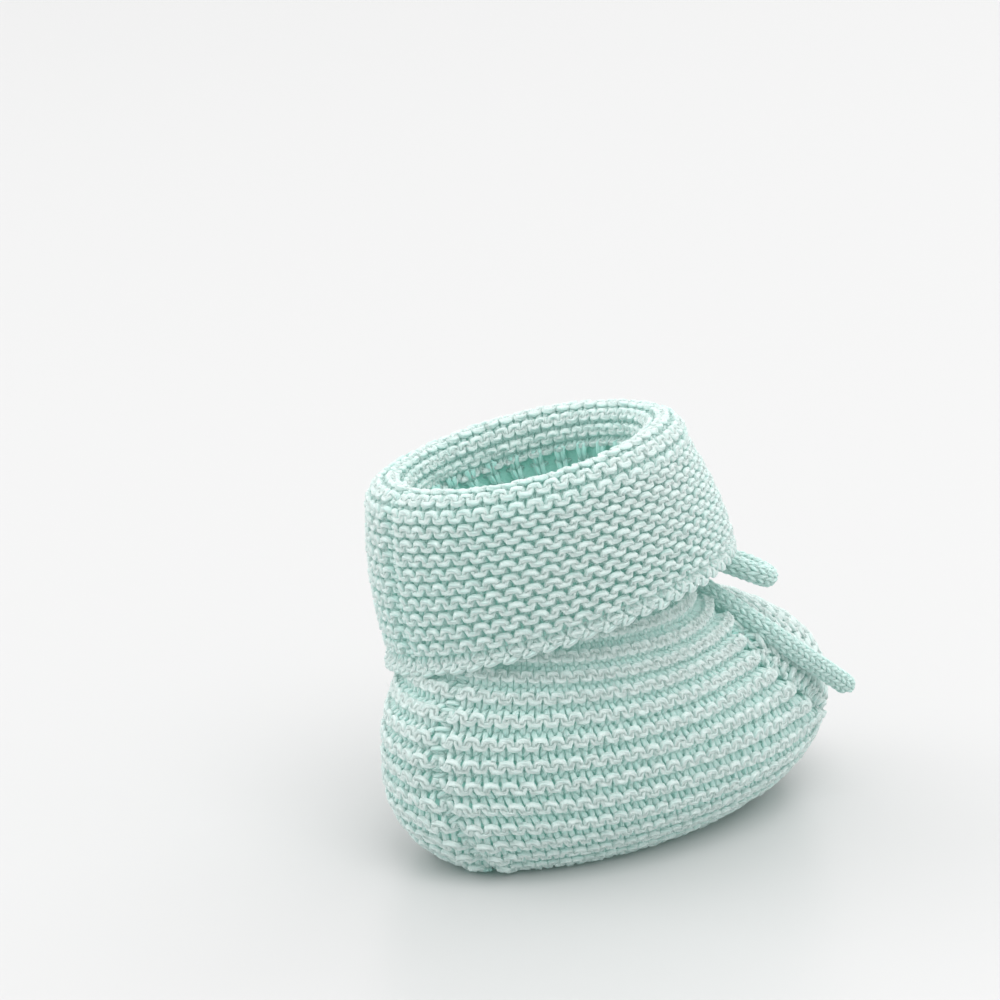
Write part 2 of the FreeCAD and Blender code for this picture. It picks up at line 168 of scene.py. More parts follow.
def yarn_material(name, pale, deep, ply_depth=0.5, fuzz=0.35):
    """Soft plied yarn: slanting plies from the tube's own map, with painted shade in their grooves,
    fine fibres, and colour that deepens towards the inner side of the knitting, which is painted shade
    in its hollows."""
    shade = Shade(name)
    where = shade.node("ShaderNodeTexCoord", {}, {}, out="Object")
    own = shade.node("ShaderNodeUVMap", {"uv_map": "yarn"}, {})
    parts = shade.node("ShaderNodeSeparateXYZ", {}, {0: own})
    along = Socket(shade, parts.out.node.outputs[0])
    around = Socket(shade, parts.out.node.outputs[1])
    plies = ((along * PLY_LEAN + around * PLIES) * TAU).sin()
    lint = shade.noise(where, LINT_GRAIN, 0.7)
    tightness = shade.noise(where, TIGHTNESS_GRAIN, 0.6)
    depth = shade.node("ShaderNodeAttribute", {"attribute_name": "depth"}, {}, out="Fac")
    # Deep in the knitting and in the plies' grooves the colour goes towards the deep one: painted
    # shade.
    tone = depth * DEPTH_SHADE + tightness * TIGHTNESS_TONE - BRIGHTER_TIGHTNESS
    tone = (tone - plies * PLY_SHADE + lint * LINT_TONE - BRIGHTER_LINT).clamp()
    height = plies * ply_depth + lint * fuzz + tightness * 0.15
    bump = shade.node("ShaderNodeBump", {}, {"Height": height, "Strength": 0.8, "Distance": 0.0005})
    shade.put(shade.surface.inputs["Base Color"], shade.mix(tone, pale, deep))
    shade.put(shade.surface.inputs["Normal"], bump)
    shade.constants(WOOL)
    return shade.material


# Each yarn's colour on its crests, and in its hollows, where the deeper colour is painted shade.
garter_yarn = yarn_material("garter_yarn", (0.585, 0.68, 0.66), (0.33, 0.68, 0.605))
tie_yarn = yarn_material("tie_yarn", (0.53, 0.70, 0.66), (0.24, 0.49, 0.44), ply_depth=0.3)
# The backings' and the cord cores' colours are brighter and greener than the yarn's own: painted light
# that lifts the gaps between the loops.
inner_knit = yarn_material(
    "inner_knit", (0.48, 0.83, 0.75), (0.38, 0.74, 0.66), ply_depth=0.0, fuzz=0.6)
fibre = yarn_material(
    "yarn_fibre", (0.66, 0.78, 0.75), (0.56, 0.73, 0.69), ply_depth=0.0, fuzz=0.0)


# ------------------------------------------------------------------ meshes
def mesh_object(name, points, faces, body, material, slot, uv=None, depth=None):
    """A mesh in mm from whole arrays, riding on its body, with its map and depth along the loops; the
    depth sets how much painted shade the yarn gets.
    """
    data = bpy.data.meshes.new(name)
    points = np.asarray(points, float) * MM
    faces = np.asarray(faces, int)
    data.vertices.add(len(points))
    data.vertices.foreach_set("co", points.ravel())
    data.loops.add(faces.size)
    data.loops.foreach_set("vertex_index", faces.ravel())
    data.polygons.add(len(faces))
    data.polygons.foreach_set("loop_start", np.arange(len(faces)) * faces.shape[1])
    data.update(calc_edges=True)
    data.polygons.foreach_set("use_smooth", np.ones(len(faces), bool))
    if uv is None:
        uv = np.zeros((len(points), 2))
    corners = np.asarray(uv, float)[faces]
    wraps = (corners[..., 1].max(1) - corners[..., 1].min(1)) > 0.5
    corners[..., 1] += (corners[..., 1] < 0.5) & wraps[:, None]
    layer = data.uv_layers.new(name="yarn")
    layer.data.foreach_set("uv", corners.ravel())
    if depth is None:
        depth = np.full(len(points), 0.5)
    mark = data.attributes.new("depth", "FLOAT", "POINT")
    mark.data.foreach_set("value", np.asarray(depth, float))
    data.validate()
    made = bpy.data.objects.new(name, data)
    bpy.context.scene.collection.objects.link(made)
    data.materials.append(material)
    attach(made, body)
    return made


class Cloth:
    """A grid of points over the fabric, v up the rows and u along them, both from 0 to 1,
    read by straight blending between its neighbours; its normals come from the grid's slopes."""

    def __init__(self, grid, outward=1.0, closed=False):
        self.grid, self.closed = grid, closed
        if closed:
            slope_u = np.roll(grid[:, :-1], -1, 1) - np.roll(grid[:, :-1], 1, 1)
            slope_u = np.concatenate([slope_u, slope_u[:, :1]], 1)
        else:
            slope_u = np.gradient(grid, axis=1)
        slope_v = np.gradient(grid, axis=0)
        normal = np.cross(slope_u, slope_v) * outward
        self.normal = normal / np.maximum(np.linalg.norm(normal, axis=2, keepdims=True), 1e-9)

    def at(self, u, v):
        """Point and normal where the fabric's own coordinates are u and v."""
        rows, columns = self.grid.shape[:2]
        u = np.mod(u, 1.0) if self.closed else np.clip(u, 0, 1)
        x = u * (columns - 1)
        y = np.clip(v, 0, 1) * (rows - 1)
        i = np.minimum(y.astype(int), rows - 2)
        j = np.minimum(x.astype(int), columns - 2)
        a, b = (x - j)[..., None], (y - i)[..., None]
        out = []
        for table in (self.grid, self.normal):
            low = table[i, j] * (1 - a) + table[i, j + 1] * a
            high = table[i + 1, j] * (1 - a) + table[i + 1, j + 1] * a
            out.append(low * (1 - b) + high * b)
        return out[0], out[1]


SIDES = 6  # sides of a round of yarn
STEPS = 12  # rounds to a stitch
FLAT, TWIST = 0.06, -0.14  # how far the loops' tops are flattened, and how their legs lean out


def steps_along(line):
    """How far along the line each of its points lies, from 0."""
    return np.concatenate([[0], np.cumsum(np.linalg.norm(np.diff(line, axis=0), axis=1))])


def yarn_tube(line, lean, radius):
    """A round tube along a line: each ring stands square to the line's slope, and is turned so
    that its first direction is square to the vector `lean` of its point. Also gives, for each
    side of the ring, how far round it lies, from 0 to 1."""
    slope = np.gradient(line, axis=0)
    slope /= np.maximum(np.linalg.norm(slope, axis=1, keepdims=True), 1e-9)
    side = np.cross(slope, lean)
    side /= np.maximum(np.linalg.norm(side, axis=1, keepdims=True), 1e-9)
    top = np.cross(side, slope)
    turn = np.arange(SIDES) * TAU / SIDES
    ring = side[:, None] * np.cos(turn)[:, None] + top[:, None] * np.sin(turn)[:, None]
    return (line[:, None] + ring * radius).reshape(-1, 3), turn / TAU


def tube_faces(length):
    """Quads between neighbouring rings of a tube."""
    ring, side = np.meshgrid(np.arange(length - 1), np.arange(SIDES), indexing="ij")
    low, high = ring * SIDES, (ring + 1) * SIDES
    after = (side + 1) % SIDES
    return np.stack([low + side, low + after, high + after, high + side], -1).reshape(-1, 4)


def tube_map(along, turn):
    """The yarn's map: how far along each ring lies, and how far round each side of it."""
    return np.stack([np.repeat(along, SIDES), np.tile(turn, len(along))], 1)


def join_tubes(tubes):
    """Tubes, each (points, faces, map, depth), as one mesh's arrays."""
    starts = np.cumsum([0] + [len(tube[0]) for tube in tubes])
    faces = np.concatenate([tube[1] + start for tube, start in zip(tubes, starts)])
    points, maps, depths = (np.concatenate([tube[k] for tube in tubes]) for k in (0, 2, 3))
    return points, faces, maps, depths


def loops(kind, stitches, spread, rise, deep):
    """One row of stitches in stitch and row widths: across = phase + spread sin 2t,
    up = rise (cos t - FLAT cos 3t), which flattens the loops' tops, and
    out = deep cos t + TWIST cos 3t for a knit row, the other way for a purl row, and
    -deep cos 2t for smooth stitches."""
    t = np.linspace(0, TAU * stitches, int(stitches * STEPS) + 1)
    across = t / TAU + spread * np.sin(2 * t)
    up = rise * (np.cos(t) - FLAT * np.cos(3 * t)) / (1 - FLAT)
    if kind == "smooth":
        return across, up, -deep * np.cos(2 * t)
    out = deep * np.cos(t) + TWIST * np.cos(3 * t)
    return across, up, -out if kind == "purl" else out


# Depth of the yarn's hollows past its loops' own, and yarn lengths of the ply's map to a radius.
HOLLOW, MAP_STRETCH = 0.6, 4.2


def no_lift(u, v):
    """A cloth that lies as its grid does."""
    return np.zeros(np.shape(u))


def knit_rows(cloth, rows, radius, lift=no_lift):
    """Yarn tubes over a cloth. Each row is (kind, v of its middle, row height in v, first u, last u,
    stitches, spread, rise, deep). The loops' across and up go along u and v, and their out goes
    along the normal, with a slow wobble of sines and the cloth's own lift."""
    tubes = []
    for kind, v, height, start, end, count, spread, rise, deep in rows:
        across, up, out = loops(kind, count, spread, rise, deep)
        u = start + (end - start) * across / count
        vv = v + height * up
        spot, normal = cloth.at(u, vv)
        wobble = 0.10 * np.sin(across * 2.1 + v * 37) + 0.07 * np.sin(across * 5.3 + v * 91)
        out = out + wobble + lift(u, vv)
        line = spot + normal * out[:, None]
        points, turn = yarn_tube(line, normal, radius)
        height_out = out[:, None] + radius * np.sin(turn * TAU)[None]
        # The deeper a side of the yarn lies, the more painted shade it gets.
        depth = np.clip(0.5 - 0.5 * height_out / (deep + HOLLOW), 0, 1).ravel()
        uv = tube_map(steps_along(line) / (radius * MAP_STRETCH), turn)
        tubes.append((points, tube_faces(len(line)), uv, depth))
    return join_tubes(tubes)


def sheet_mesh(cloth, offset, rows, columns, flip=False, lift=no_lift):
    """A smooth backing under the yarn: the cloth moved along its normal by offset."""
    v, u = np.meshgrid(np.linspace(0, 1, rows), np.linspace(0, 1, columns), indexing="ij")
    spot, normal = cloth.at(u, v)
    points = (spot + normal * (offset + lift(u, v)[..., None])).reshape(-1, 3)
    i, j = np.meshgrid(np.arange(rows - 1), np.arange(columns - 1), indexing="ij")
    a = i * columns + j
    faces = np.stack([a, a + 1, a + columns + 1, a + columns], -1).reshape(-1, 4)
    return points, faces[:, ::-1] if flip else faces


def knit_piece(name, mesh, slot):
    """The yarn that stands for a CAD piece of the bootie's own cloth."""
    made = mesh_object(name + "_yarn", *mesh[:2], "bootie", garter_yarn, slot, *mesh[2:])
    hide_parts(name)


def backing(name, mesh, slot):
    """A smooth backing of fine knitting behind the loops, which fills the gaps between them in a
    brighter, greener colour than the yarn's: painted light.
    """
    mesh_object(name, *mesh, "bootie", inner_knit, slot)


# ------------------------------------------------------------------ shape of the foot
# Height, heel, toe and half width of the level outlines.
LEVELS = np.array([
    [0, -39.5, 25, 17.0], [4, -45.6, 39.5, 22.0], [10, -50.6, 46.8, 27.0],
    [20, -52.6, 49.3, 29.2], [30, -51.2, 43.2, 28.4], [37, -46.8, 30.5, 26.4],
    [44, -42.5, 13.8, 24.6], [49, -41.5, 9.0, 23.2], [56, -41.5, 6.0, 22.0],
    [62, -42.3, 5.3, 22.3], [68, -43.2, 4.4, 22.7]])
WALL_FOOT, WALL_TOP = 1.5, 50.0  # heights of the side wall's lowest and highest points
BELLY = 18  # up to this height the rows of the wall stay level


def smooth_curve(x, y, at):
    """A smooth curve through points: cubic pieces whose slopes are those of their neighbours."""
    slope = np.gradient(y, x)
    at = np.clip(at, x[0], x[-1])
    k = np.clip(np.searchsorted(x, at, side="right") - 1, 0, len(x) - 2)
    step = x[k + 1] - x[k]
    t = (at - x[k]) / step
    return ((2 * t**3 - 3 * t**2 + 1) * y[k] + (t**3 - 2 * t**2 + t) * step * slope[k]
            + (3 * t**2 - 2 * t**3) * y[k + 1] + (t**3 - t**2) * step * slope[k + 1])


def outline(height):
    """Heel, toe and half width of the foot at a height."""
    return [smooth_curve(LEVELS[:, 0], LEVELS[:, k], height) for k in (1, 2, 3)]


def foot_at(height, turn):
    """A level outline: an ellipse whose heel, toe and half width follow the height; turn is 0 at
    the heel and goes up on the right side."""
    back, front, half = outline(height)
    middle, reach = (back + front) / 2, (front - back) / 2
    x, y = half * np.sin(turn), middle - reach * np.cos(turn)
    return np.stack([x, y, height + 0 * turn], -1)


def read_line(at, length, table):
    """A table's three columns, given at the lengths, read at other lengths."""
    return np.stack([np.interp(at, length, table[:, k]) for k in range(3)], 1)


def even_steps(line, count):
    """The same line with count points at even distances along it, and its length."""
    length = steps_along(line)
    return read_line(np.linspace(0, length[-1], count), length, line), length[-1]


def even_rows(lines, count):
    """The same sheet of lines with count lines, at even distances along its middle column; also
    gives how far along that column each line lay."""
    length = steps_along(lines[:, lines.shape[1] // 2])
    at = np.linspace(0, length[-1], count)
    flat = lines.reshape(len(lines), -1)
    even = np.stack([np.interp(at, length, flat[:, k]) for k in range(flat.shape[1])], 1)
    return even.reshape(count, -1, 3), length


def fade(distance, width):
    """A soft bump: e to the power of minus the square of distance over width."""
    return np.exp(-(distance / width)**2)


# Heights up the side of the foot at even distances along its slope.
side_line = foot_at(np.linspace(WALL_FOOT, WALL_TOP, 200), np.full(200, 1.2))
ROW_HEIGHTS = even_steps(side_line, 120)[0][:, 2]

# The heel seam: height, and how far right of the middle it lies.
HEEL_SEAM = np.array([[0, 7.5], [2.5, 8.2], [7, 9.5], [13.5, 8.8], [20, 6.2], [35, 5.3], [50, 5]])
# The seam between side wall and instep: height, and how far forward it lies.
INSTEP_SEAM = np.array([
    [14.5, 51.0], [15.0, 46.8], [15.6, 42.0], [16.6, 36.6], [18.6, 33.2], [22.1, 28.8],
    [25.9, 24.0], [29.7, 18.8], [33.2, 14.4], [37.9, 11.4], [41.1, 12.2], [43.2, 13.6]])
SEAM_LOW, SEAM_HIGH = 14.5, 43.4
WALL_ROWS, WALL_COLUMNS = 140, 261
STEEPEST = 2.6  # the most slope length to a mm of height that a column spreads its rows by
LEVEL_UNTIL, LEVEL_EASE = 0.30, 0.25  # share of a row before it stops being level, and its ease


def wall_grid(side):
    """One side of the foot from the heel seam to the toe. Level outlines are cut into even steps;
    then, towards the front, each column's rows above the belly are spread evenly up its slope.
    Also gives, for each row, the share of it that lies behind the instep seam."""
    fine = np.linspace(WALL_FOOT, WALL_TOP, 260)
    lines = []
    for height in fine:
        half = outline(height)[2]
        start = math.asin(np.interp(height, HEEL_SEAM[:, 0], HEEL_SEAM[:, 1]) / half)
        turn = np.linspace(start, np.pi * side, 400)
        lines.append(even_steps(foot_at(np.full(400, height), turn), WALL_COLUMNS)[0])
    lines = np.array(lines)
    climb = np.linalg.norm(np.diff(lines, axis=0), axis=2) / np.diff(fine)[:, None]
    climb = np.where((fine[:-1] < BELLY)[:, None], 0, np.minimum(climb, STEEPEST))
    share = np.concatenate([np.zeros((1, WALL_COLUMNS)), np.cumsum(climb, axis=0)])
    share = share / share[-1]
    ease = np.clip((np.linspace(0, 1, WALL_COLUMNS) - LEVEL_UNTIL) / LEVEL_EASE, 0, 1)
    ease = ease * ease * (3 - 2 * ease)
    up_side = np.linspace(0, 1, len(ROW_HEIGHTS))
    belly = np.interp(BELLY, ROW_HEIGHTS, up_side)
    rows = np.linspace(0, 1, WALL_ROWS)
    plain = np.interp(rows, up_side, ROW_HEIGHTS)
    grid = np.zeros((WALL_ROWS, WALL_COLUMNS, 3))
    for k in range(WALL_COLUMNS):
        spread = np.interp((rows - belly) / (1 - belly), share[:, k], fine)
        height = np.where(rows < belly, plain, plain * (1 - ease[k]) + spread * ease[k])
        for axis in range(3):
            grid[:, k, axis] = np.interp(height, fine, lines[:, k, axis])
    forward = np.interp(grid[..., 2], INSTEP_SEAM[:, 0], INSTEP_SEAM[:, 1])
    past = (grid[..., 1] > forward) & (grid[..., 2] > SEAM_LOW) & (grid[..., 2] < SEAM_HIGH)
    ends = np.where(past.any(1), past.argmax(1) / (WALL_COLUMNS - 1), 1.0)
    return grid, ends


walls = {}
for side in (1, -1):
    grid, ends = wall_grid(side)
    walls[side] = (Cloth(grid, outward=float(side)), ends)


# ------------------------------------------------------------------ foot
FOOT_ROWS, PANEL_ROWS, SOLE_ROWS = 26, 26, 9
YARN, FOOT_YARN, SOLE_YARN = 0.64, 0.66, 0.608  # radii of the yarn on the cuff, foot and sole
FOOT_BACKING = -0.75  # how far the backing lies under the loops of the foot
WALL_LENGTH = 128  # mm round one side of the foot, from heel to toe
STITCHES = {1: 38, -1: 41}  # stitches round the right side and the left side


def foot_lift(ends):
    """Ridges stand proud of the furrows between them. Near a seam the fabric dips in and swells
    beside it, in one tuft a ridge: the lift is a cosine of the rows plus soft bumps of the
    distance from either seam."""
    def lift(u, v):
        seam = np.interp(v, np.linspace(0, 1, len(ends)), ends)
        from_heel = u * WALL_LENGTH
        from_seam = np.where(seam < 0.999, (seam - u) * WALL_LENGTH, 99)
        ridge = np.cos((v * FOOT_ROWS / 2 - 0.5) * TAU)
        tuft = 0.5 + 0.5 * ridge
        heel = -0.9 * fade(from_heel, 1.5) + (0.35 + 0.7 * tuft) * fade(from_heel - 3.6, 2.4)
        front = -(0.8 + 1.3 * (1 - tuft)) * fade(from_seam, 1.7)
        front = front + 0.8 * tuft * fade(from_seam - 4.2, 3.6)
        return 0.22 * ridge + heel + front
    return lift


def build_wall(side, name):
    """One side of the foot: a knit row and a purl row make a ridge, and share their stitches and
    their end, a little past the instep seam or at the middle of the toe."""
    cloth, ends = walls[side]
    lift = foot_lift(ends)
    rows = []
    for k in range(FOOT_ROWS):
        ridge = (k // 2 * 2 + 1) / FOOT_ROWS
        last = min(float(np.interp(ridge, np.linspace(0, 1, len(ends)), ends)), 1.0)
        over = 0.011 * min(max((0.97 - last) / 0.07, 0.0), 1.0)
        rows.append(("purl" if k % 2 else "knit", (k + 0.5) / FOOT_ROWS, 1.0 / FOOT_ROWS,
                     0.0, last + over, round(last * STITCHES[side]), 0.20, 0.86, 0.78))
    knit_piece(name, knit_rows(cloth, rows, FOOT_YARN, lift=lift), "garter_foot")
    inner = sheet_mesh(cloth, FOOT_BACKING, 110, 160, flip=side < 0, lift=lift)
    backing(name + "_inner", inner, "garter_foot")


build_wall(1, "side_wall_right")
build_wall(-1, "side_wall_left")

FAN = (14.0, 6.0)  # y and z of the line across the foot that the instep's rows fan out from


def panel_grid():
    """The top of the foot: fans of upright slices through a line across the foot, each from the
    right seam over the top to the left seam, at even steps along the middle."""
    seam = INSTEP_SEAM[::-1, ::-1]
    seam_angle = np.arctan2(seam[:, 1] - FAN[1], seam[:, 0] - FAN[0])
    seam_reach = np.hypot(seam[:, 1] - FAN[1], seam[:, 0] - FAN[0])
    angles = np.linspace(math.radians(91), math.radians(13.2), 240)
    reach = np.linspace(2, 60, 2400)
    lines = []
    for angle in angles:
        y, z = FAN[0] + reach * math.cos(angle), FAN[1] + reach * math.sin(angle)
        back, front, half = outline(z)
        inside = 1 - ((y - (back + front) / 2) / ((front - back) / 2))**2
        start = np.interp(-angle, -seam_angle, seam_reach)
        start = min(start, reach[inside > 0][-1] - 0.6)
        ok = (inside > 0) & (reach >= start)
        y, z, x = y[ok], z[ok], (half * np.sqrt(np.maximum(inside, 0)))[ok]
        half_line = np.stack([x, y, z], 1)
        tip = half_line[-1] * [0, 1, 1]
        line = np.concatenate([half_line, tip[None], half_line[::-1] * [-1, 1, 1]])
        lines.append(even_steps(line, 121)[0])
    return even_rows(np.array(lines), 140)[0]


panel_points = panel_grid()
panel = Cloth(panel_points, outward=-1.0)


def panel_lift(u, v):
    """The instep swells in the middle, by sines of u and v, and dips into its seam in gathered
    tufts, by soft bumps of the share of its width from the seam."""
    edge = np.minimum(u, 1 - u)
    tuft = 0.5 + 0.5 * np.cos(v * TAU * 13 + 1.0)
    along = np.sin(np.pi * np.clip(v * 0.9 + 0.1, 0, 1))
    middle = 1.0 * np.sin(np.pi * np.clip(u, 0, 1))**0.6 * along
    return middle - 0.8 * fade(edge, 0.03) + 0.5 * tuft * fade(edge - 0.09, 0.05)


PANEL_STITCH = 3.2  # mm across a stitch of the instep
rows = []
for k in range(PANEL_ROWS):
    line = panel_points[int((k + 1) // 2 * 2 / PANEL_ROWS * 139)]
    width = np.linalg.norm(np.diff(line, axis=0), axis=1).sum()
    rows.append(("knit" if k % 2 else "purl", (k + 0.5) / PANEL_ROWS, 1.0 / PANEL_ROWS,
                 0.0, 1.0, max(2, round(width / PANEL_STITCH)), 0.19, 0.84, 0.74))
knit_piece("instep_panel", knit_rows(panel, rows, FOOT_YARN, lift=panel_lift), "garter_foot")
inner = sheet_mesh(panel, FOOT_BACKING, 120, 90, flip=True, lift=panel_lift)
backing("instep_panel_inner", inner, "garter_foot")


def sole_grid(side):
    """Half of the sole: from the foot's lowest outline straight in to the seam down its middle."""
    cloth, _ = walls[side]
    rim = cloth.grid[0]
    heel_x = rim[0, 0]
    seam_x = heel_x * (1 - np.linspace(0, 1, len(rim)))
    inner = np.stack([seam_x, rim[:, 1], np.full(len(rim), 1.9)], 1)
    v = np.linspace(0, 1, 40)[:, None, None]
    return rim[None] * (1 - v) + inner[None] * v


for side, name in ((1, "sole_right"), (-1, "sole_left")):
    cloth = Cloth(sole_grid(side), outward=-1.0 * side)
    rows = [("knit" if k % 2 else "purl", (k + 0.5) / SOLE_ROWS, 1 / SOLE_ROWS,
             0.03, 0.97, STITCHES[side] - 2, 0.17, 0.8, 0.72) for k in range(SOLE_ROWS)]
    knit_piece(name, knit_rows(cloth, rows, SOLE_YARN), "garter_foot")
    backing(name + "_inner", sheet_mesh(cloth, -1.1, 30, 120, flip=side > 0), "garter_foot")


# ------------------------------------------------------------------ leg, fold and cuff
def ring_point(turn, centre, wide, deep, rise_right, rise_front):
    """An ellipse round a centre, turn 0 at the heel, whose height rises to the right and front."""
    x, y = centre[0] + wide * np.sin(turn), centre[1] - deep * np.cos(turn)
    z = centre[2] + rise_right * (x - centre[0]) + rise_front * (y - centre[1])
    return np.stack([x, y, z], -1)


FOLD = 3.3  # half of the distance between the leg and the cuff where it folds over
BACK_SEAM = math.radians(-12)
RIM_SLOPES = (0.19, 0.15)
LINING_LENGTH, SAG = 3.0, 1.1


def cuff_profile():
    """The folded leg: straight up inside from the rib, round the fold on half an ellipse, and
    down to the cast-off edge with a sine's sag. Rows of the grid go up and over, columns go round
    from the back seam. Also gives the shares at which the fold starts and ends, and the length."""
    turn = BACK_SEAM + np.linspace(0, TAU, 241)
    rim = ring_point(turn, (-1.1, -22.6, 73.5), 25.6, 25.6, *RIM_SLOPES)
    out = np.stack([np.sin(turn), -np.cos(turn), 0 * turn], -1)
    start = rim - out * (FOLD + 0.2) - [0, 0, LINING_LENGTH]
    edge = ring_point(turn, (-0.7, -14.2, 46.9), 31.0, 32.5, 0.3, 0.18)
    grid = []
    for share in np.linspace(0, 1, 24)[:-1]:
        grid.append(start * (1 - share) + (rim - out * FOLD) * share)
    inside = len(grid)
    for bend in np.linspace(0, np.pi, 22)[:-1]:
        grid.append(rim - out * FOLD * math.cos(bend) + [0, 0, FOLD * 1.15 * math.sin(bend)])
    over = len(grid)
    for share in np.linspace(0, 1, 70):
        sag = math.sin(math.pi * share) * SAG
        grid.append((rim + out * FOLD) * (1 - share) + edge * share + out * sag)
    even, length = even_rows(np.array(grid), 260)
    return even, length[inside] / length[-1], length[over] / length[-1], length[-1]


cuff_points, FOLD_START, FOLD_END, CUFF_LENGTH = cuff_profile()
cuff_cloth = Cloth(cuff_points, outward=-1.0, closed=True)
RIDGE = 2.66  # mm from ridge to ridge on the cuff
CUFF_ROWS = 2 * round(CUFF_LENGTH / RIDGE)
AROUND = 56  # stitches round the cuff


def cuff_lift(u, v):
    """A pinched back seam, by a soft bump of the distance from it that deepens with a cosine of
    the rows, and soft waves round the cuff, by a sine of u and v."""
    from_seam = (np.mod(u + 0.5, 1.0) - 0.5) * 200
    pinch = -1.3 * fade(from_seam, 1.6) * (0.65 + 0.35 * np.cos(v * TAU * CUFF_ROWS / 2))
    return pinch + 0.25 * np.sin(u * TAU * 3 + 1.0 + v * 4)


pieces = {"leg_lining": [], "cuff_fold": [], "cuff": []}
for k in range(CUFF_ROWS):
    v = (k + 0.5) / CUFF_ROWS
    name = "leg_lining" if v < FOLD_START else "cuff_fold" if v < FOLD_END else "cuff"
    pieces[name].append(("knit" if k % 2 else "purl", v, 1 / CUFF_ROWS,
                         0.0, 1.0, AROUND, 0.185, 1.0, 0.80))
for name, rows in pieces.items():
    knit_piece(name, knit_rows(cuff_cloth, rows, YARN, lift=cuff_lift), "garter_cuff")
inner = sheet_mesh(cuff_cloth, -0.32, 200, 180, flip=True, lift=cuff_lift)
backing("cuff_inner", inner, "garter_cuff")
backing("cuff_back", sheet_mesh(cuff_cloth, -1.2, 120, 180, lift=cuff_lift), "garter_cuff")


def edge_yarn():
    """The cast-off edge: two yarns in step, half a stitch apart, that swing out and back under
    the last row, by cosines of the stitch, and so form a chain of slanting loops."""
    tubes = []
    t = np.linspace(0, TAU * AROUND, AROUND * 14 + 1)
    for part, (shift, low) in enumerate(((0.25, 0.35), (0.75, 1.0))):
        u = (t / TAU + 0.17 * np.sin(2 * t) + shift) / AROUND
        spot, normal = cuff_cloth.at(u, np.full(len(t), 0.995))
        drop = low + 0.75 * np.cos(t + 0.3 * part) + 0.15 * np.sin(t * 0.37)
        out = 0.25 + 0.65 * np.cos(t + 0.9) + 0.2 * part
        line = spot - np.array([0, 0, 1.0]) * drop[:, None] + normal * out[:, None]
        points, turn = yarn_tube(line, normal, YARN)
        uv = tube_map(np.arange(len(line)) * 0.1, turn)
        tubes.append((points, tube_faces(len(line)), uv, np.full(len(points), 0.12)))
    return join_tubes(tubes)


knit_piece("cuff_edge", edge_yarn(), "cast_off")


def band_grid():
    """The ribbed ankle: level ellipses from inside the foot's top up to the garter rows, blended
    straight below the middle and with an ease above it."""
    turn = np.linspace(0, TAU, 241)
    lower = ring_point(turn, (0, -17.2, 44.0), 20.6, 22.3, 0.0, 0.0)
    middle = ring_point(turn, (0, -17.75, 55.0), 20.3, 22.0, 0.0, 0.0)
    rim = ring_point(turn, (-1.0, -22.4, 71.4), 22.5, 22.5, *RIM_SLOPES)
    grid = []
    for share in np.linspace(0, 1, 30)[:-1]:
        grid.append(lower * (1 - share) + middle * share)
    for share in np.linspace(0, 1, 40):
        ease = share * share * (3 - 2 * share)
        line = middle * (1 - ease) + rim * ease
        line[:, 2] = middle[:, 2] * (1 - share) + rim[:, 2] * share
        grid.append(line)
    return np.array(grid)


band = Cloth(band_grid(), outward=1.0, closed=True)
RIBS, RIB_ROWS = 30, 11


def rib_rows():
    """Rib: smooth stitches whose columns stand proud in turn on one side and on the other, by a
    squared-off cosine of the stitches."""
    tubes = []
    across, up, out = loops("smooth", 2 * RIBS, 0.16, 0.72, 0.45)
    lift = np.tanh(3 * np.cos(np.pi * across)) * (out + 0.95)
    # The sunk columns get more depth, and so more painted shade.
    depth = np.repeat(np.clip(0.45 - 0.35 * lift, 0, 1), SIDES)
    for k in range(RIB_ROWS):
        spot, normal = band.at(across / (2 * RIBS), (k + 0.5 + up) / RIB_ROWS)
        line = spot + normal * lift[:, None]
        points, turn = yarn_tube(line, normal, 0.55)
        tubes.append((points, tube_faces(len(line)), tube_map(across * 1.4, turn), depth))
    return join_tubes(tubes)


knit_piece("ankle_band", rib_rows(), "rib")
backing("ankle_band_inner", sheet_mesh(band, 0.0, 60, 181), "rib")


# ------------------------------------------------------------------ fibres
HAIR_LENGTH, HAIR_WIDTH = 1.1, 0.028


def fibres(name, slot, count):
    """Fine hairs that stand off a piece's yarn: each a flat strip of three spans that starts at a
    corner of the mesh, leaves between square to the surface and along it, and bends with the
    square of its length."""
    data = bpy.data.objects[name + "_yarn"].data
    spots, normals = np.zeros(len(data.vertices) * 3), np.zeros(len(data.vertices) * 3)
    data.vertices.foreach_get("co", spots)
    data.vertices.foreach_get("normal", normals)
    pick = rng.integers(0, len(data.vertices), count)
    root, out = spots.reshape(-1, 3)[pick] / MM, normals.reshape(-1, 3)[pick]
    way = out + rng.normal(0, 0.75, (count, 3))
    way /= np.linalg.norm(way, axis=1, keepdims=True)
    bend = rng.normal(0, 0.9, (count, 3))
    flat = np.cross(way, rng.normal(0, 1, (count, 3)))
    flat /= np.linalg.norm(flat, axis=1, keepdims=True)
    length = HAIR_LENGTH * rng.uniform(0.35, 1.0, count)[:, None, None]
    t = np.linspace(0, 1, 4)[None, :, None]
    line = root[:, None] + length * (way[:, None] * t + bend[:, None] * t * t * 0.35)
    half = HAIR_WIDTH / 2 * (1 - 0.7 * t) * flat[:, None]
    points = np.stack([line - half, line + half], 2).reshape(-1, 3)
    base = (np.arange(count) * 8)[:, None] + np.arange(3)[None] * 2
    faces = np.stack([base, base + 1, base + 3, base + 2], -1).reshape(-1, 4)
    depth = np.full(len(points), 0.1)
    mesh_object(name + "_fibres", points, faces, "bootie", fibre, slot, None, depth)


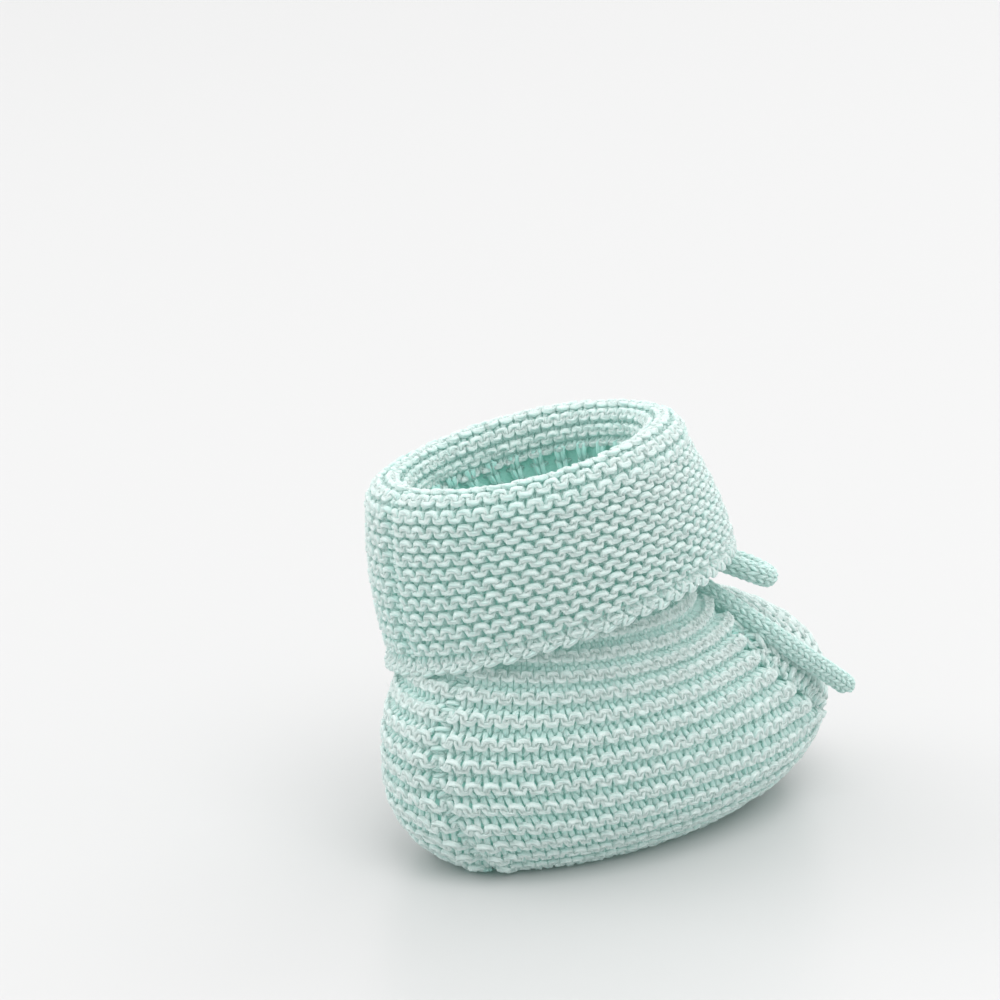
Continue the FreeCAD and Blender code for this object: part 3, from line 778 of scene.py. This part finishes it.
# ------------------------------------------------------------------ seams
def overcast(name, path, normals, width, pitch, radius, lift, swell):
    """Sewing yarn over a seam: it crosses from side to side with a sine, once a pitch, and rises
    over the top with a cosine; slow sines make its stitches uneven."""
    side = np.cross(np.gradient(path, axis=0), normals)
    side /= np.linalg.norm(side, axis=1, keepdims=True)
    length = steps_along(path)
    count = int(length[-1] / pitch * 14)
    at = np.linspace(0, length[-1], count)
    spot, out, across = (read_line(at, length, table) for table in (path, normals, side))
    phase = at / pitch * TAU
    wander = 1 + 0.25 * np.sin(at * 1.9) + 0.2 * np.sin(at * 0.83 + 1)
    line = spot + across * (width / 2 * np.sin(phase) * wander)[:, None]
    line = line + out * (lift + swell * np.cos(phase + 0.8) * wander)[:, None]
    points, turn = yarn_tube(line, out, radius)
    mesh = (points, tube_faces(count), tube_map(at / 2.6, turn), np.full(len(points), 0.3))
    knit_piece(name, mesh, "seam")


def seam_on(cloth, first, last, count, sunk):
    """A line up the cloth's first column, sunk under its surface, and its normals."""
    spot, normal = cloth.at(np.zeros(count), np.linspace(first, last, count))
    return spot - normal * sunk, normal


overcast("heel_seam", *seam_on(walls[1][0], 0.0, 1.0, 160, 0.6), 2.3, 1.7, 0.5, 0.4, 0.4)
v = np.linspace(0.02, 0.99, 200)
right_line, right_out = panel.at(np.zeros(200), v)
left_line, left_out = panel.at(np.ones(200), v)
line = np.concatenate([right_line, left_line[::-1]])
out = np.concatenate([right_out, left_out[::-1]])
overcast("instep_seam", line - out * 2.3, out, 1.3, 2.04, 0.5, 0.0, 0.25)
y = np.linspace(-41, 30, 160)
line = np.stack([np.interp(y, [-41, 30], [7.8, 0.0]), y, np.full(160, 1.7)], 1)
overcast("sole_seam", line, np.tile([0, 0, -1.0], (160, 1)), 2.4, 3.0, 0.55, 0.0, 0.3)
over_fold = FOLD_END * 0.9
line, out = seam_on(cuff_cloth, over_fold, 0.985, 120, 1.1)
overcast("cuff_seam", line, out, 2.4, RIDGE, 0.55, 0.3, 0.5)
line, out = seam_on(cuff_cloth, 0.02, over_fold, 60, 1.1)
overcast("leg_seam", line, out, 2.2, RIDGE, 0.5, 0.3, 0.5)


# ------------------------------------------------------------------ tie
KNOT = np.array([2.5, 11.5326, 51.6])
CORD_STITCHES, CORD_ROW = 6, 1.65  # stitches round the knitted cord, and mm to a round
CORD_RADIUS, CORD_YARN, CORE_GAP = 1.45, 0.43, 0.25
TIP = 2.2  # mm over which a cord's tip is rounded off
SLEEVE_COLUMNS = 25


def cord_line(name, route):
    """The smooth line of a cord: a NURBS spline with the route's points, read back as points."""
    curve = bpy.data.curves.new(name + "_line", "CURVE")
    curve.dimensions = "3D"
    curve.resolution_u = 16
    spline = curve.splines.new("NURBS")
    spline.points.add(len(route) - 1)
    weighted = np.concatenate([np.asarray(route) * MM, np.ones((len(route), 1))], 1)
    spline.points.foreach_set("co", weighted.ravel())
    spline.order_u = 3
    spline.use_endpoint_u = True
    made = bpy.data.objects.new(name + "_line", curve)
    bpy.context.scene.collection.objects.link(made)
    mesh = bpy.data.meshes.new_from_object(made)
    spots = np.zeros(len(mesh.vertices) * 3)
    mesh.vertices.foreach_get("co", spots)
    bpy.data.objects.remove(made)
    bpy.data.curves.remove(curve)
    bpy.data.meshes.remove(mesh)
    line = spots.reshape(-1, 3) / MM
    length = np.linalg.norm(np.diff(line, axis=0), axis=1).sum()
    return even_steps(line, max(24, int(length / 0.5)))


def sleeve(line, radius, closed_ends):
    """A sleeve round a line: rings square to it, turned as little as may be from one to the next,
    whose size falls off as a circle does over the last TIP mm of a closed end."""
    slope = np.gradient(line, axis=0)
    slope /= np.linalg.norm(slope, axis=1, keepdims=True)
    side = np.zeros_like(line)
    now = np.cross(slope[0], [0, 0, 1.0])
    for k in range(len(line)):
        now = now - slope[k] * (now @ slope[k])
        now = now / np.linalg.norm(now)
        side[k] = now
    top = np.cross(slope, side)
    step = np.linalg.norm(np.diff(line, axis=0), axis=1).mean()
    order = np.arange(len(line))
    size = np.full(len(line), radius)
    for closed, from_tip in zip(closed_ends[::-1], (len(line) - 1 - order, order)):
        if closed:
            near = np.clip(from_tip * step / TIP, 0, 1)
            size = size * np.sqrt(1 - (1 - near)**2 * 0.93)
    turn = np.linspace(0, TAU, SLEEVE_COLUMNS)
    ring = side[:, None] * np.cos(turn)[:, None] + top[:, None] * np.sin(turn)[:, None]
    return line[:, None] + ring * size[:, None, None]


def knitted_cord(name, line, length, body, closed_ends):
    """Knitted cord: one yarn winds up round the sleeve in smooth stitches. Its across is the phase
    plus a sine of 2t, its height climbs a row a round plus a cosine of t, and its out is a
    cosine of 2t. A smooth core fills it."""
    cloth = Cloth(sleeve(line, CORD_RADIUS, closed_ends), closed=True)
    rounds = int(length / CORD_ROW)
    stitches = CORD_STITCHES * rounds
    t = np.linspace(0, TAU * stitches, stitches * STEPS + 1)
    across = t / TAU + 0.29 * np.sin(2 * t)
    v = (t / TAU / CORD_STITCHES + 0.5 + 0.80 * np.cos(t)) / (rounds + 1)
    spot, normal = cloth.at(across / CORD_STITCHES, v)
    out = -0.28 * np.cos(2 * t) + 0.05
    points, turn = yarn_tube(spot + normal * out[:, None], normal, CORD_YARN)
    # The inner parts of the stitches get more depth, and so more painted shade.
    depth = np.repeat(np.clip(0.35 - 0.5 * out, 0, 1), SIDES)
    uv = tube_map(across * 1.5, turn)
    yarn = mesh_object(name + "_yarn", points, tube_faces(len(t)), body, tie_yarn, "tie", uv, depth)
    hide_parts(name)
    core_cloth = Cloth(sleeve(line, CORD_RADIUS - CORE_GAP, closed_ends), closed=True)
    mesh = sheet_mesh(core_cloth, 0.0, len(line), SLEEVE_COLUMNS)
    return yarn, mesh_object(name + "_core", *mesh, body, inner_knit, "tie")


# Points of each free end, from the knot.
TAIL_RIGHT = [(3.2, 0.2, -3.0), (6.8, 0.8, -5.6), (13.4, 3.3, -9.0), (20.6, 7.0, -13.6),
              (23.1, 13.4, -19.0), (23.9, 20.0, -23.8), (24.6, 26.1, -28.4)]
TAIL_LEFT = [(-3.3, -1.0, -1.6), (-8.0, -1.0, -3.8), (-16.8, 2.4, -7.6), (-25.4, 7.4, -13.6),
             (-28.4, 13.6, -19.6), (-29.4, 19.8, -24.8), (-28.8, 26.0, -29.2)]
# Half of each loop, from the knot: how far out each point is, how far across, and its droop.
LOOP_RIGHT = [
    (3.2, 2.3, 0), (7.5, 2.9, 0.6), (12.5, 4.6, 1.7), (16.5, 4.6, 2.9), (19.3, 2.0, 4.0)]
LOOP_LEFT = [
    (3.2, 2.3, 0), (7.5, 2.9, 0.8), (13.5, 4.6, 1.6), (18.0, 4.6, 2.4), (20.8, 2.0, 3.0)]


def loop_route(half, bearing, slope, tip):
    """Out along an axis, given by its bearing and slope, and back on its other side, across it
    and tipped."""
    bearing, slope = math.radians(bearing), math.radians(slope)
    level = math.cos(slope)
    axis = np.array([math.cos(bearing) * level, math.sin(bearing) * level, math.sin(slope)])
    hand = 1 if bearing < math.pi / 2 else -1
    across = np.array([hand * math.sin(bearing), -hand * math.cos(bearing), tip])
    across = across - axis * (across @ axis)
    across /= np.linalg.norm(across)
    there = [axis * out + across * side - [0, 0, droop] for out, side, droop in half]
    back = [axis * out - across * side - [0, 0, droop] for out, side, droop in half]
    return there + back[::-1]


for name, route, body, free in (
        ("tie_tail_right", TAIL_RIGHT, "tail_right", True),
        ("tie_tail_left", TAIL_LEFT, "bootie", True),
        ("tie_loop_right", loop_route(LOOP_RIGHT, 38, -2, 0.22), "bootie", False),
        ("tie_loop_left", loop_route(LOOP_LEFT, 126, -20, -0.1), "bootie", False)):
    line, length = cord_line(name, np.asarray(route) + KNOT)
    yarn, core = knitted_cord(name, line, length, body, (False, free))
    tuple(line[0] * MM)
    (line * MM).tolist()

turn = np.linspace(0, TAU, 260)
ankle = np.stack([21.4 * np.sin(turn), -18.2 - 23.15 * np.cos(turn), np.full(260, 51.4)], 1)
knitted_cord("tie_ankle_cord", ankle, 140.0, "bootie", (False, False))

# The bow's knot: two turns of knitted cord, round an ellipse that swings from side to side.
turn = np.linspace(0, TAU * 2, 160)
knot = np.stack([1.5 * np.sin(turn / 2), 3.0 * np.cos(turn), 3.2 * np.sin(turn)], 1)
knitted_cord("tie_knot", KNOT + knot, 39.0, "bootie", (True, True))

HAIRS = {"side_wall_right": 9000, "side_wall_left": 6000, "instep_panel": 4000, "cuff": 9000,
         "cuff_fold": 4000, "heel_seam": 900, "cuff_edge": 1500, "cuff_seam": 500}
for name, count in HAIRS.items():
    fibres(name, "garter_cuff" if name.startswith("cuff") else "garter_foot", count)

# ------------------------------------------------------------------ floor and light
floor_data = bpy.data.meshes.new("floor")
corners = [(-30, -30, 0), (30, -30, 0), (30, 30, 0), (-30, 30, 0)]
floor_data.from_pydata(corners, [], [(0, 1, 2, 3)])
floor = bpy.data.objects.new("floor", floor_data)
bpy.context.scene.collection.objects.link(floor)
ground = Shade("floor_white")
ground.constants({
    "Base Color": (0.56, 0.56, 0.56), "Roughness": 0.35, "Specular IOR Level": 0.3})
floor_data.materials.append(ground.material)


BOOTIE_MIDDLE = Vector((0, 0, 0.04))


def soft_light(name, spot, power, size):
    """A square soft box at spot that faces the bootie."""
    data = bpy.data.lights.new(name, "AREA")
    data.shape, data.size, data.energy = "SQUARE", size, power
    lamp = bpy.data.objects.new(name, data)
    spot = Vector(spot)
    lamp.rotation_euler = (spot - BOOTIE_MIDDLE).to_track_quat("Z", "Y").to_euler()
    lamp.location = spot
    bpy.context.scene.collection.objects.link(lamp)


soft_light("key", (0.55, -0.25, 1.1), 5.0, 0.8)
soft_light("fill", (-0.9, -0.9, 0.8), 4.0, 1.0)
soft_light("back", (-0.2, 1.2, 0.9), 3.5, 1.0)
world = bpy.data.worlds.new("studio")
world.use_nodes = True
sky = world.node_tree.nodes["Background"]
sky.inputs["Color"].default_value = (1, 1, 1, 1)
sky.inputs["Strength"].default_value = 1.2
bpy.context.scene.world = world
bpy.context.scene.view_settings.view_transform = "Standard"
